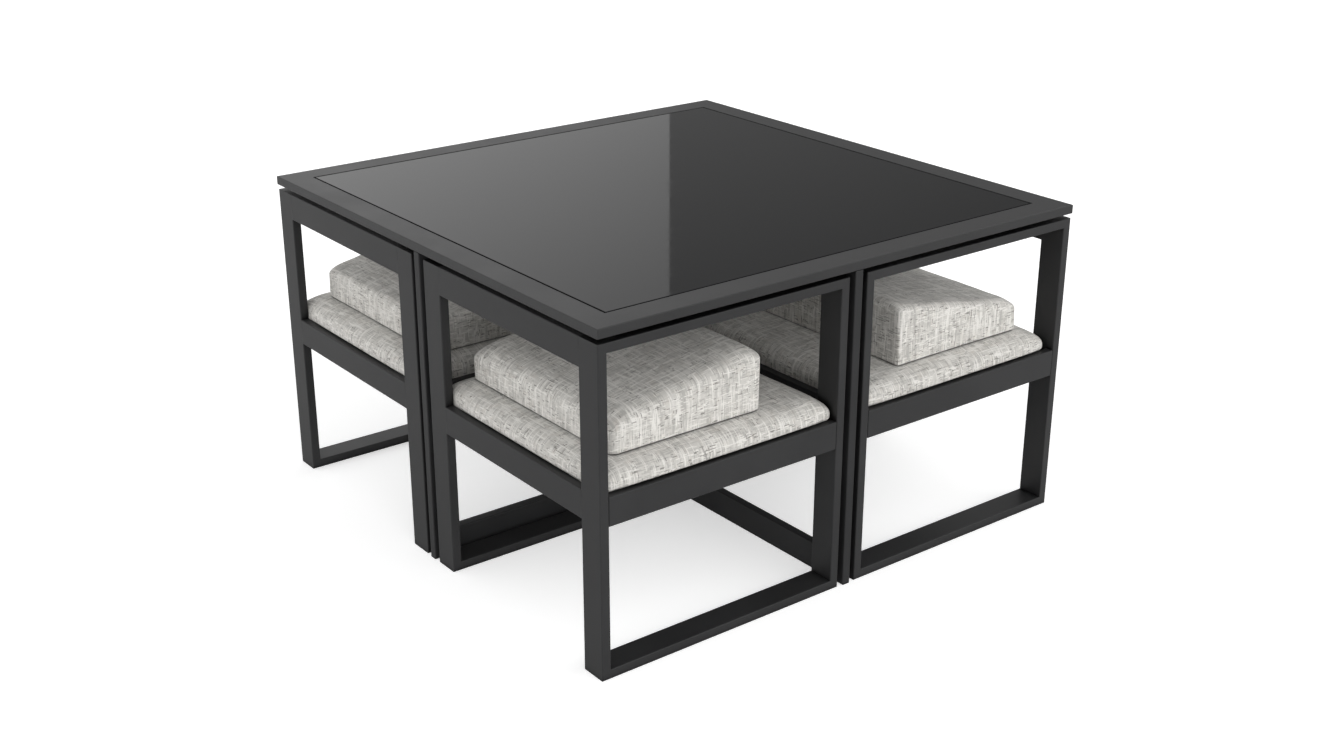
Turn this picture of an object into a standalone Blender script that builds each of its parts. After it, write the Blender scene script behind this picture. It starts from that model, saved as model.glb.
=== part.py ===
"""Garden dining set: a square glass-topped table with four cube armchairs stored under it.

Metres, +Z up. The origin is on the floor under the middle of the table. +X runs along the
right front side of the set and +Y along the left front side, both away from the near corner.
"""
import math

import bmesh
import bpy
from mathutils import Matrix, Vector

# Clearances
TOUCH_GAP = 0.0003            # between two pieces that meet
CHAIR_SETBACK = 0.0015        # chair's outer faces inside the table's edge
LEG_CLEARANCE = 0.0135        # between a table leg and the chairs beside it
HEADROOM = 0.010              # between the chairs' arms and the underside of the top
CUT_OVERRUN = 0.001           # how far a cutter passes the face that it opens

# Flat rectangular tube that all the frames are welded from
TUBE_WIDTH = 0.060
TUBE_THICKNESS = 0.020
TUBE_EDGE = 0.002

# Table
TABLE_SIDE = 1.250
TABLE_HEIGHT = 0.710
TOP_THICKNESS = 0.020
TOP_BAND = 0.060
TOP_EDGE = 0.002
REBATE_EDGE = 0.0008
GLASS_THICKNESS = 0.005
GLASS_DROP = 0.0003
GLASS_ARRIS = 0.0006
GLASS_MARGIN = 0.0045         # between the glass and the band, filled by the rubber strip
GASKET_BASE = 0.0015
GASKET_DROP = 0.0025          # the strip lies below the glass, as a dark groove
LEDGE_WIDTH = 0.012
LEDGE_THICKNESS = 0.004
CROSSBAR_WIDTH = 0.040
CROSSBAR_EDGE = 0.001

# Folded brackets that hold the top on its two base frames
BRACKET_LENGTH = 0.040
BRACKET_FLANGE = 0.021
BRACKET_DROP = 0.030
BRACKET_THICKNESS = 0.003
BRACKET_BEND = 0.002
BRACKET_HOLE = 0.0055

# Chair frames
SEAT_RAIL_TOP = 0.380
CLEAT_WIDTH = 0.014
CLEAT_THICKNESS = 0.003
DECK_DROP = 0.020             # deck below the tops of the seat rails
DECK_THICKNESS = 0.012
DECK_BORDER = 0.045
SLAT_WIDTH = 0.050
SLAT_SPACE = 0.020

# Seat cushion, dropped into the seat frame
SEAT_CUSHION_THICKNESS = 0.0672
SEAT_CUSHION_CORNER = 0.008
SEAT_EDGE_WIDTH = 0.045       # the rounded top edge, seen in section: its width and its drop
SEAT_EDGE_DROP = 0.032
SEAT_EDGE_SAG = 0.0012        # how far the edge lies below the middle of the top
SEAT_CROWN_WIDTH = 0.045
SEAT_FOOT_EDGE = 0.008
SEAT_BULGE = 0.003

# Back cushion, a wedge that lies flat on the seat with its thin end at the chair's back
BACK_CUSHION_LENGTH = 0.364
BACK_CUSHION_SIDE_SPACE = 0.0355
BACK_CUSHION_THIN = 0.0680
BACK_CUSHION_THICK = 0.1330
BACK_CUSHION_CORNER = 0.015
BACK_TOP_EDGE = 0.023
BACK_FOOT_EDGE = 0.005
BACK_CROWN = 0.0035
BACK_DRAW_IN = 0.0025
BACK_CUSHION_SET = {          # thin end in front of the back rails: loose, so each lies as it fell
    "near": 0.046,
    "left": 0.050,
    "right": 0.063,
    "far": 0.044,
}

# Counts and shares
ARC_STEPS = 3
SHARP_DEGREES = 35            # an angle between faces that shows as an edge
HOLE_STEPS = 16
CUSHION_CORNER_STEPS = 4
CUSHION_SIDE_STEPS = 6
CUSHION_EDGE_STEPS = 4
BULGE_REACH_SHARE = 0.64      # of half a side: past it the posts stand against the cushion
INNER_RING_SHARES = (0.7, 0.35)
RAIL_END_SHARE = 0.75         # rounding at a side rail's ends, of the tube's own edge

# Worked out from the values above
TOP_UNDERSIDE = TABLE_HEIGHT - TOP_THICKNESS
GLASS_TOP = TABLE_HEIGHT - GLASS_DROP
GLASS_BOTTOM = GLASS_TOP - GLASS_THICKNESS
GASKET_TOP = GLASS_BOTTOM - TOUCH_GAP
GASKET_BOTTOM = GASKET_TOP - GASKET_BASE
LEDGE_TOP = GASKET_BOTTOM - TOUCH_GAP
LEDGE_BOTTOM = LEDGE_TOP - LEDGE_THICKNESS
BASE_HEIGHT = TOP_UNDERSIDE - TOUCH_GAP
CHAIR_SIDE = TABLE_SIDE / 2 - CHAIR_SETBACK - LEG_CLEARANCE - TUBE_THICKNESS / 2
CHAIR_HEIGHT = TOP_UNDERSIDE - HEADROOM
CHAIR_CENTRE = TUBE_THICKNESS / 2 + LEG_CLEARANCE + CHAIR_SIDE / 2
SEAT_OPENING = CHAIR_SIDE - 2 * TUBE_THICKNESS
DECK_TOP = SEAT_RAIL_TOP - DECK_DROP
CLEAT_TOP = DECK_TOP - DECK_THICKNESS - TOUCH_GAP
SEAT_CUSHION_BOTTOM = DECK_TOP + TOUCH_GAP
SEAT_CUSHION_TOP = SEAT_CUSHION_BOTTOM + SEAT_CUSHION_THICKNESS

MATERIALS = {                 # colour, roughness, metallic
    "frame_paint": ((0.052, 0.052, 0.053), 0.42, 0.0),
    "base_paint": ((0.045, 0.045, 0.046), 0.45, 0.0),
    "glass": ((0.012, 0.012, 0.013), 0.06, 0.0),
    "gasket_rubber": ((0.008, 0.008, 0.008), 0.80, 0.0),
    "zinc": ((0.42, 0.43, 0.44), 0.38, 1.0),
    "deck_paint": ((0.038, 0.038, 0.039), 0.50, 0.0),
    "seat_fabric": ((0.56, 0.54, 0.51), 0.92, 0.0),
    "back_fabric": ((0.60, 0.58, 0.55), 0.92, 0.0),
}


def clear_scene():
    for old in list(bpy.data.objects):
        bpy.data.objects.remove(old, do_unlink=True)


def make_material(name):
    colour, roughness, metallic = MATERIALS[name]
    material = bpy.data.materials.new(name)
    material.use_nodes = True
    shader = material.node_tree.nodes["Principled BSDF"]
    shader.inputs["Base Color"].default_value = (*colour, 1.0)
    shader.inputs["Roughness"].default_value = roughness
    shader.inputs["Metallic"].default_value = metallic
    material.diffuse_color = (*colour, 1.0)
    return material


def mesh_of(name, shape, smooth=False):
    """Closes a bmesh into a mesh, with its faces turned outward."""
    bmesh.ops.recalc_face_normals(shape, faces=shape.faces)
    mesh = bpy.data.meshes.new(name)
    shape.to_mesh(mesh)
    shape.free()
    if smooth:
        mesh.shade_smooth()
    else:
        mesh.set_sharp_from_angle(angle=math.radians(SHARP_DEGREES))
    return mesh


def add_node(name, mesh, material, parent=None, location=(0, 0, 0), turn=0):
    node = bpy.data.objects.new(name, mesh)
    bpy.context.scene.collection.objects.link(node)
    if not mesh.materials:
        mesh.materials.append(material)
    node.parent = parent
    node.location = location
    node.rotation_euler = (0, 0, turn)
    return node


def add_empty(name, location, turn=0):
    empty = bpy.data.objects.new(name, None)
    bpy.context.scene.collection.objects.link(empty)
    empty.location = location
    empty.rotation_euler = (0, 0, turn)
    return empty


def filleted(corners):
    """Outline through (a, b, radius) corners, each rounded by an arc of its radius."""
    points = []
    for index, (a, b, radius) in enumerate(corners):
        corner = Vector((a, b))
        if radius == 0:
            points.append(corner)
            continue
        before = (Vector(corners[index - 1][:2]) - corner).normalized()
        after = (Vector(corners[(index + 1) % len(corners)][:2]) - corner).normalized()
        half = before.angle(after) / 2
        centre = corner + (before + after).normalized() * radius / math.sin(half)
        start = corner + before * radius / math.tan(half) - centre
        side = 1 if before.cross(after) < 0 else -1
        for step in range(ARC_STEPS + 1):
            swing = side * (math.pi - 2 * half) * step / ARC_STEPS
            points.append(centre + Matrix.Rotation(swing, 2) @ start)
    return points


def tube_section(thickness, width, edge):
    """Section of a tube about its own middle: thickness along a, width along b."""
    a, b = thickness / 2, width / 2
    return filleted([(-a, -b, edge), (a, -b, edge), (a, b, edge), (-a, b, edge)])


def bridge(shape, rings, closed):
    """Joins each ring of points to the next with quads, back to the first ring if closed."""
    rows = [[shape.verts.new(point) for point in ring] for ring in rings]
    count = len(rows[0])
    for index in range(len(rows) if closed else len(rows) - 1):
        low, high = rows[index], rows[(index + 1) % len(rows)]
        for k in range(count):
            after = (k + 1) % count
            shape.faces.new((low[k], low[after], high[after], high[k]))
    if not closed:
        shape.faces.new(rows[0])
        shape.faces.new(rows[-1])
    return shape


def mitred_loop(half_u, half_v, section):
    """Sweeps a section of (inset, across) points round a rectangle, mitred at its corners."""
    rings = []
    for side_u, side_v in ((-1, -1), (1, -1), (1, 1), (-1, 1)):
        rings.append([(side_u * (half_u - inset), side_v * (half_v - inset), across)
                      for inset, across in section])
    return bridge(bmesh.new(), rings, closed=True)


def standing_hoop(length, height):
    """A closed frame of tube on its end, in the XZ plane, standing on the floor."""
    half = TUBE_THICKNESS / 2
    section = [(a + half, b) for a, b in tube_section(TUBE_THICKNESS, TUBE_WIDTH, TUBE_EDGE)]
    shape = mitred_loop(length / 2, height / 2, section)
    stand = Matrix.Translation((0, 0, height / 2)) @ Matrix.Rotation(math.pi / 2, 4, "X")
    bmesh.ops.transform(shape, matrix=stand, verts=shape.verts)
    return shape


def edgewise_hoop(length, height):
    """A closed frame of tube on edge, in the XZ plane, standing on the floor."""
    half = TUBE_WIDTH / 2
    section = [(b + half, a) for a, b in tube_section(TUBE_THICKNESS, TUBE_WIDTH, TUBE_EDGE)]
    shape = mitred_loop(length / 2, height / 2, section)
    stand = Matrix.Translation((0, 0, height / 2)) @ Matrix.Rotation(math.pi / 2, 4, "X")
    bmesh.ops.transform(shape, matrix=stand, verts=shape.verts)
    return shape


def straight_bar(section, length, along):
    """A bar along X or Y with flat ends. The section gives its other level axis and Z."""
    rings = []
    for end in (-length / 2, length / 2):
        if along == "X":
            rings.append([(end, a, b) for a, b in section])
        else:
            rings.append([(a, end, b) for a, b in section])
    return bridge(bmesh.new(), rings, closed=False)


def block_cutter(name, size, centre, turn):
    shape = bmesh.new()
    bmesh.ops.create_cube(shape, size=1.0)
    bmesh.ops.scale(shape, vec=size, verts=shape.verts)
    cutter = hidden_cutter(name, shape, centre)
    cutter.rotation_euler = (0, 0, turn)
    return cutter


def hidden_cutter(name, shape, centre, parent=None):
    cutter = bpy.data.objects.new(name, mesh_of(name, shape))
    bpy.context.scene.collection.objects.link(cutter)
    cutter.location = centre
    cutter.parent = parent
    cutter.hide_render = True
    cutter.display_type = "WIRE"
    return cutter


def cut(node, cutter):
    boolean = node.modifiers.new(cutter.name, "BOOLEAN")
    boolean.operation = "DIFFERENCE"
    boolean.solver = "EXACT"
    boolean.object = cutter


def half_lap(node, bottom, top, cut_from_top, thickness, turn, label):
    """Halves a bar over half its height where a like bar crosses it, at the table's middle."""
    middle = (bottom + top) / 2
    if cut_from_top:
        low, high = middle - TOUCH_GAP / 2, top + CUT_OVERRUN
    else:
        low, high = bottom - CUT_OVERRUN, middle + TOUCH_GAP / 2
    size = (thickness + 2 * TOUCH_GAP, thickness + 2 * CUT_OVERRUN, high - low)
    cutter = block_cutter(node.name + label, size, (0, 0, (low + high) / 2), turn)
    cut(node, cutter)


def build_table_top(paint, glass, rubber):
    half = TABLE_SIDE / 2
    inner = TOP_BAND + LEDGE_WIDTH
    band = filleted([
        (0, TOP_UNDERSIDE, TOP_EDGE),
        (TOP_BAND, TOP_UNDERSIDE, TOP_EDGE),
        (TOP_BAND, LEDGE_BOTTOM, 0),
        (inner, LEDGE_BOTTOM, 0),
        (inner, LEDGE_TOP, 0),
        (TOP_BAND, LEDGE_TOP, 0),
        (TOP_BAND, TABLE_HEIGHT, REBATE_EDGE),
        (0, TABLE_HEIGHT, TOP_EDGE),
    ])
    add_node("tabletop_frame", mesh_of("tabletop_frame", mitred_loop(half, half, band)), paint)

    strip_start = TOP_BAND + TOUCH_GAP
    strip_face = TOP_BAND + GLASS_MARGIN - TOUCH_GAP
    strip = filleted([
        (strip_start, GASKET_BOTTOM, 0),
        (inner, GASKET_BOTTOM, 0),
        (inner, GASKET_TOP, 0),
        (strip_face, GASKET_TOP, 0),
        (strip_face, TABLE_HEIGHT - GASKET_DROP, 0),
        (strip_start, TABLE_HEIGHT - GASKET_DROP, 0),
    ])
    add_node("glass_gasket", mesh_of("glass_gasket", mitred_loop(half, half, strip)), rubber)

    reach = half - TOP_BAND - GLASS_MARGIN
    rings = []
    for inset, height in ((GLASS_ARRIS, GLASS_BOTTOM), (0, GLASS_BOTTOM + GLASS_ARRIS),
                          (0, GLASS_TOP - GLASS_ARRIS), (GLASS_ARRIS, GLASS_TOP)):
        side = reach - inset
        rings.append([(-side, -side, height), (side, -side, height),
                      (side, side, height), (-side, side, height)])
    pane = bridge(bmesh.new(), rings, closed=False)
    add_node("glass_top", mesh_of("glass_top", pane), glass)


def build_crossbars(paint):
    """Two bars halved into each other, which carry the middle of the glass."""
    bottom = BASE_HEIGHT + TOUCH_GAP
    top = GLASS_BOTTOM - TOUCH_GAP
    length = TABLE_SIDE - 2 * (TOP_BAND + LEDGE_WIDTH + TOUCH_GAP)
    section = [(a, b + (bottom + top) / 2)
               for a, b in tube_section(CROSSBAR_WIDTH, top - bottom, CROSSBAR_EDGE)]
    for name, along, turn, from_top in (("glass_crossbar_long", "Y", math.pi / 2, True),
                                        ("glass_crossbar_short", "X", 0, False)):
        bar = add_node(name, mesh_of(name, straight_bar(section, length, along)), paint)
        half_lap(bar, bottom, top, from_top, CROSSBAR_WIDTH, turn, "_lap")


def build_base(paint):
    """Two closed frames on edge, halved into each other over the floor and under the top."""
    for name, turn, from_top in (("base_frame_long", math.pi / 2, True),
                                 ("base_frame_cross", 0, False)):
        mesh = mesh_of(name, edgewise_hoop(TABLE_SIDE, BASE_HEIGHT))
        frame = add_node(name, mesh, paint, turn=turn)
        for label, bottom in (("_floor_lap", 0), ("_top_lap", BASE_HEIGHT - TUBE_WIDTH)):
            half_lap(frame, bottom, bottom + TUBE_WIDTH, from_top, TUBE_THICKNESS, turn, label)


def bracket_shape():
    """Angle folded from plate, along Y: one leg down the tube, one under the band."""
    plate = BRACKET_THICKNESS
    section = filleted([
        (0, -BRACKET_DROP, 0),
        (plate, -BRACKET_DROP, 0),
        (plate, -plate, BRACKET_BEND),
        (BRACKET_FLANGE, -plate, 0),
        (BRACKET_FLANGE, 0, 0),
        (0, 0, BRACKET_BEND),
    ])
    return straight_bar(section, BRACKET_LENGTH, "Y")


def hole_cutter(name, centre, lying, parent):
    shape = bmesh.new()
    depth = BRACKET_THICKNESS + 2 * CUT_OVERRUN
    bmesh.ops.create_cone(shape, cap_ends=True, segments=HOLE_STEPS, depth=depth,
                          radius1=BRACKET_HOLE / 2, radius2=BRACKET_HOLE / 2)
    if lying:
        bmesh.ops.rotate(shape, verts=shape.verts, matrix=Matrix.Rotation(math.pi / 2, 3, "Y"))
    return hidden_cutter(name, shape, centre, parent)


def build_brackets(zinc):
    reach = TABLE_SIDE / 2 - TOP_BAND / 2
    face = TUBE_THICKNESS / 2 + TOUCH_GAP
    places = {                # centre of each bracket, and how it is turned about Z
        "near_left": ((-reach, face), math.pi / 2),
        "near_right": ((face, -reach), 0),
        "far_left": ((-face, reach), math.pi),
        "far_right": ((reach, -face), -math.pi / 2),
    }
    flange_hole = (BRACKET_THICKNESS + BRACKET_FLANGE) / 2
    leg_hole = (BRACKET_THICKNESS + BRACKET_DROP) / 2
    for place, ((x, y), turn) in places.items():
        name = place + "_bracket"
        bracket = add_node(name, mesh_of(name, bracket_shape()), zinc,
                           location=(x, y, BASE_HEIGHT), turn=turn)
        holes = (("_flange_hole", (flange_hole, 0, -BRACKET_THICKNESS / 2), False),
                 ("_leg_hole", (BRACKET_THICKNESS / 2, 0, -leg_hole), True))
        for label, centre, lying in holes:
            cut(bracket, hole_cutter(name + label, centre, lying, bracket))


def rounded_outline(half_x, half_y, radius):
    """Points (u, v) round a rounded rectangle, as shares of its half sides."""
    outline = []
    inner_x, inner_y = half_x - radius, half_y - radius
    for quarter, (side_x, side_y) in enumerate(((1, 1), (-1, 1), (-1, -1), (1, -1))):
        for step in range(CUSHION_CORNER_STEPS + 1):
            angle = (quarter + step / CUSHION_CORNER_STEPS) * math.pi / 2
            outline.append((side_x * inner_x + radius * math.cos(angle),
                            side_y * inner_y + radius * math.sin(angle)))
        next_x, next_y = ((-1, 1), (-1, -1), (1, -1), (1, 1))[quarter]
        start = Vector(outline[-1])
        angle = (quarter + 1) * math.pi / 2
        end = Vector((next_x * inner_x + radius * math.cos(angle),
                      next_y * inner_y + radius * math.sin(angle)))
        for step in range(1, CUSHION_SIDE_STEPS):
            outline.append(tuple(start.lerp(end, step / CUSHION_SIDE_STEPS)))
    return [(x / half_x, y / half_y) for x, y in outline]


def swell(share, reach_share):
    """1 at the middle of a side, fading to 0 at its reach towards the corners."""
    return max(0.0, 1 - (share / reach_share) ** 2)


def cushion_ring(outline, half_x, half_y, inset, height_at, swell_x=0, swell_y=0):
    ring = []
    for u, v in outline:
        x = u * (half_x - inset + swell_x * swell(v, BULGE_REACH_SHARE))
        y = v * (half_y - inset + swell_y * swell(u, 1))
        ring.append((x, y, height_at(x, y)))
    return ring


def level(height):
    return lambda x, y: height


def seat_cushion_shape():
    """Square box cushion: straight foot in the seat frame, full rounded edge, flat crown."""
    half = SEAT_OPENING / 2 - TOUCH_GAP
    bottom = SEAT_CUSHION_BOTTOM
    outline = rounded_outline(half, half, SEAT_CUSHION_CORNER)
    rings = []
    for share in reversed(INNER_RING_SHARES):
        rings.append(cushion_ring(outline, half, half, half * (1 - share), level(bottom)))
    for inset, height in ((SEAT_FOOT_EDGE, bottom), (0, bottom + SEAT_FOOT_EDGE),
                          (0, SEAT_RAIL_TOP)):
        rings.append(cushion_ring(outline, half, half, inset, level(height)))
    edge_top = SEAT_CUSHION_TOP - SEAT_EDGE_SAG
    for step in range(CUSHION_EDGE_STEPS + 1):
        angle = step / CUSHION_EDGE_STEPS * math.pi / 2
        inset = SEAT_EDGE_WIDTH * (1 - math.cos(angle))
        height = edge_top - SEAT_EDGE_DROP * (1 - math.sin(angle))
        bulge = SEAT_BULGE * math.cos(angle)
        rings.append(cushion_ring(outline, half, half, inset, level(height), bulge, bulge))
    crown_inset = SEAT_EDGE_WIDTH + SEAT_CROWN_WIDTH
    rings.append(cushion_ring(outline, half, half, crown_inset, level(SEAT_CUSHION_TOP)))
    for share in INNER_RING_SHARES[1:]:
        rings.append(cushion_ring(outline, half, half, half * (1 - share),
                                  level(SEAT_CUSHION_TOP)))
    return bridge(bmesh.new(), rings, closed=False)


def back_cushion_shape():
    """Wedge cushion: flat underside, sloping crowned top, sides drawn in between corners."""
    half_x = BACK_CUSHION_LENGTH / 2
    half_y = SEAT_OPENING / 2 - BACK_CUSHION_SIDE_SPACE
    slope = (BACK_CUSHION_THICK - BACK_CUSHION_THIN) / BACK_CUSHION_LENGTH
    middle = (BACK_CUSHION_THICK + BACK_CUSHION_THIN) / 2

    def below_top(drop):
        def height_at(x, y):
            crown = BACK_CROWN * swell(x / half_x, 1) * swell(y / half_y, 1)
            return middle + slope * x + crown - drop
        return height_at

    outline = rounded_outline(half_x, half_y, BACK_CUSHION_CORNER)
    rings = []
    for share in reversed(INNER_RING_SHARES):
        inset = half_x * (1 - share)
        rings.append(cushion_ring(outline, half_x, half_y, inset, level(0)))
    foot_steps = CUSHION_EDGE_STEPS - 1
    for step in range(foot_steps + 1):
        angle = step / foot_steps * math.pi / 2
        inset = BACK_FOOT_EDGE * (1 - math.sin(angle))
        height = BACK_FOOT_EDGE * (1 - math.cos(angle))
        draw = -BACK_DRAW_IN * math.sin(angle)
        rings.append(cushion_ring(outline, half_x, half_y, inset, level(height), draw, draw))
    for step in range(CUSHION_EDGE_STEPS + 1):
        angle = step / CUSHION_EDGE_STEPS * math.pi / 2
        inset = BACK_TOP_EDGE * (1 - math.cos(angle))
        drop = BACK_TOP_EDGE * (1 - math.sin(angle))
        draw = -BACK_DRAW_IN * math.cos(angle)
        rings.append(cushion_ring(outline, half_x, half_y, inset, below_top(drop), draw, draw))
    for share in INNER_RING_SHARES:
        inset = half_x * (1 - share)
        rings.append(cushion_ring(outline, half_x, half_y, inset, below_top(0)))
    return bridge(bmesh.new(), rings, closed=False)


def deck_mesh(name):
    """Panel of slats across the seat, joined by a border: a pierced sheet, made solid later."""
    half = SEAT_OPENING / 2 - TOUCH_GAP
    room = 2 * (half - DECK_BORDER)
    spaces = int((room + SLAT_WIDTH) / (SLAT_WIDTH + SLAT_SPACE))
    slat = (room - spaces * SLAT_SPACE) / (spaces - 1)
    breaks_x = [-half]
    for index in range(spaces):
        start = DECK_BORDER - half + index * (slat + SLAT_SPACE)
        breaks_x += [start, start + SLAT_SPACE]
    breaks_x.append(half)
    breaks_y = [-half, DECK_BORDER - half, half - DECK_BORDER, half]
    shape = bmesh.new()
    grid = [[shape.verts.new((x, y, DECK_TOP)) for y in breaks_y] for x in breaks_x]
    for i in range(len(breaks_x) - 1):
        for j in range(len(breaks_y) - 1):
            if i % 2 == 1 and j == 1:
                continue
            shape.faces.new((grid[i][j], grid[i + 1][j], grid[i + 1][j + 1], grid[i][j + 1]))
    return mesh_of(name, shape)


def side_rail_section(inset):
    """Seat rail on edge with the cleat that carries the deck, cleat towards +a."""
    thick, wide = TUBE_THICKNESS / 2 - inset, TUBE_WIDTH / 2 - inset
    edge = TUBE_EDGE - inset
    cleat = CLEAT_TOP - (SEAT_RAIL_TOP - TUBE_WIDTH / 2)
    cleat_edge = TUBE_THICKNESS / 2 + CLEAT_WIDTH
    return filleted([
        (-thick, -wide, edge),
        (thick, -wide, edge),
        (thick, cleat - CLEAT_THICKNESS, 0),
        (cleat_edge, cleat - CLEAT_THICKNESS, 0),
        (cleat_edge, cleat, 0),
        (thick, cleat, 0),
        (thick, wide, edge),
        (-thick, wide, edge),
    ])


def side_rail_shape(length):
    """The rail's edges are eased at both ends, which show as seams beside the posts."""
    ease = TUBE_EDGE * RAIL_END_SHARE
    half_rings = []
    for step in range(ARC_STEPS + 1):
        angle = step / ARC_STEPS * math.pi / 2
        place = length / 2 - ease * (1 - math.cos(angle))
        half_rings.append((place, side_rail_section(ease * (1 - math.sin(angle)))))
    rings = [[(-place, a, b) for a, b in section] for place, section in half_rings]
    rings += [[(place, a, b) for a, b in section] for place, section in reversed(half_rings)]
    return bridge(bmesh.new(), rings, closed=False)


def build_chair(place, meshes, paints, side_x, side_y):
    """One armchair on its own empty, which lies on the line that the chair is drawn out along."""
    turn = 0 if side_x < 0 else math.pi
    chair = add_empty(place + "_chair", (side_x * CHAIR_CENTRE, side_y * CHAIR_CENTRE, 0), turn)
    outward = side_y if side_x < 0 else -side_y
    half = CHAIR_SIDE / 2
    rail_height = SEAT_RAIL_TOP - TUBE_WIDTH / 2
    paint = paints["frame_paint"]

    for label, side in (("outer", outward), ("inner", -outward)):
        across = side * (half - TUBE_WIDTH / 2)
        add_node(place + "_chair_" + label + "_hoop", meshes["hoop"], paint, chair,
                 (0, across, 0))
        edge = side * (half - TUBE_THICKNESS / 2)
        add_node(place + "_chair_" + label + "_seat_rail", meshes["side_rail"], paint, chair,
                 (0, edge, rail_height), 0 if side < 0 else math.pi)

    line = half - TUBE_THICKNESS / 2
    top_rail_height = CHAIR_HEIGHT - TUBE_WIDTH / 2
    for label, x, z in (("back_top_rail", -line, top_rail_height),
                        ("back_seat_rail", -line, rail_height),
                        ("front_seat_rail", line, rail_height)):
        add_node(place + "_chair_" + label, meshes["cross_rail"], paint, chair, (x, 0, z))

    deck = add_node(place + "_chair_seat_deck", meshes["deck"], paints["deck_paint"], chair)
    solid = deck.modifiers.new("thickness", "SOLIDIFY")
    solid.thickness = DECK_THICKNESS
    solid.offset = -1
    add_node(place + "_chair_seat_cushion", meshes["seat_cushion"], paints["seat_fabric"], chair)
    thin_end = -SEAT_OPENING / 2 + BACK_CUSHION_SET[place]
    add_node(place + "_chair_back_cushion", meshes["back_cushion"], paints["back_fabric"], chair,
             (thin_end + BACK_CUSHION_LENGTH / 2, 0, SEAT_CUSHION_TOP + TOUCH_GAP))


def build_chairs(paints):
    side_bar = SEAT_OPENING - 2 * TOUCH_GAP
    cross_bar = CHAIR_SIDE - 2 * (TUBE_WIDTH + TOUCH_GAP)
    rail = tube_section(TUBE_THICKNESS, TUBE_WIDTH, TUBE_EDGE)
    meshes = {
        "hoop": mesh_of("chair_hoop", standing_hoop(CHAIR_SIDE, CHAIR_HEIGHT)),
        "side_rail": mesh_of("side_rail", side_rail_shape(side_bar)),
        "cross_rail": mesh_of("cross_rail", straight_bar(rail, cross_bar, "Y")),
        "deck": deck_mesh("seat_deck"),
        "seat_cushion": mesh_of("seat_cushion", seat_cushion_shape(), smooth=True),
        "back_cushion": mesh_of("back_cushion", back_cushion_shape(), smooth=True),
    }
    for place, side_x, side_y in (("near", -1, -1), ("left", -1, 1),
                                  ("right", 1, -1), ("far", 1, 1)):
        build_chair(place, meshes, paints, side_x, side_y)


clear_scene()
paints = {name: make_material(name) for name in MATERIALS}
build_table_top(paints["frame_paint"], paints["glass"], paints["gasket_rubber"])
build_crossbars(paints["base_paint"])
build_base(paints["base_paint"])
build_brackets(paints["zinc"])
build_chairs(paints)
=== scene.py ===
import math

import bmesh
import bpy
import numpy as np
from mathutils import Matrix, Vector, noise


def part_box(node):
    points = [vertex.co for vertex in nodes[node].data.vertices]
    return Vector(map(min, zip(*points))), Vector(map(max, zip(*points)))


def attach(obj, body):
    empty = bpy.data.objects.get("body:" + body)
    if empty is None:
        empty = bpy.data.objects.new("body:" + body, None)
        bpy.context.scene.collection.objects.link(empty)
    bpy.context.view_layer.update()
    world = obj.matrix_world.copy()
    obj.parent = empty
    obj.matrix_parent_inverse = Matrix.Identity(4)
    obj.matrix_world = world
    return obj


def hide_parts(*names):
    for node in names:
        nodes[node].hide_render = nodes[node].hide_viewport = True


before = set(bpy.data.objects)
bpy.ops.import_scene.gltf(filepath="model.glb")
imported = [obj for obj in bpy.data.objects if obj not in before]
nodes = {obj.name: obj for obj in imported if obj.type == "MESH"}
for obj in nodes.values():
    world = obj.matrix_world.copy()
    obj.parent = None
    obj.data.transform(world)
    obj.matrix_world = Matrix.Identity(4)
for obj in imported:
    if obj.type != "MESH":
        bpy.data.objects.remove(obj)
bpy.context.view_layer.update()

# The view: a standing person's look at the near corner, from a little above the table top.
# The camera keeps the photograph's distance, so that the set fills the frame as it does there.
CAMERA_PLACE = (-2.218, -2.890, 1.748)
CAMERA_AZIMUTH = -37.551
CAMERA_ELEVATION = 22.067
CAMERA_LENS = 46.292
SENSOR_WIDTH = 36.0


def placed(name, data):
    """A new object in the scene, with the mesh, camera or lamp given."""
    piece = bpy.data.objects.new(name, data)
    bpy.context.scene.collection.objects.link(piece)
    return piece


lens = bpy.data.cameras.new("camera")
lens.lens = CAMERA_LENS
lens.sensor_width = SENSOR_WIDTH
camera = placed("camera", lens)
camera.location = CAMERA_PLACE
camera.rotation_euler = (math.radians(90 - CAMERA_ELEVATION), 0, math.radians(CAMERA_AZIMUTH))
bpy.context.scene.camera = camera

# The two base frames: closed frames of 60 x 20 mm aluminium tube set on edge, welded at mitred
# corners and halved into each other over the floor and under the top. They are powder coated
# in satin anthracite, like every other frame of the set.
BASE_COLOUR = (0.0185, 0.0185, 0.0192)
PEEL_SIZE = 0.0011
PEEL_STRENGTH = 0.35
EDGE_RADIUS = 0.0016
EDGE_TURN = (0.999, 0.90)          # match of rounded and flat normal: none, and full edge
WEAR_SCALE = 55.0
WEAR_RANGE = (0.42, 0.66)
# Edge paling is partly wear and partly a painted highlight on the edges' rounding; the least
# share below, along every edge, is the painted highlight.
EDGE_HIGHLIGHT_FLOOR = 0.35
PALE_EDGE_GAIN = 2.6                    # how much paler a rubbed edge is
CLOUD_SCALE = 7.0
CLOUD_RANGE = (0.3, 0.7)
CLOUD_TONE = 0.10
CLOUD_GLOSS = 0.03
FLECK_SCALE = 2600.0
FLECK_RANGE = (0.66, 0.74)
FLECK_GAIN = 1.22
# Painted shade: the paint darkens where other surfaces stand close, so seams and narrow gaps read
# dark.
SEAM_REACH = 0.008
SEAM_RANGE = (0.42, 0.95)          # open share of the surroundings: shut seam, and open face
SEAM_SHADE = 0.04
LOOKS = 6                          # rays for each soft edge or seam
PAINT_SPECULAR = 0.24
COMMON_IOR = 1.5


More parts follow.
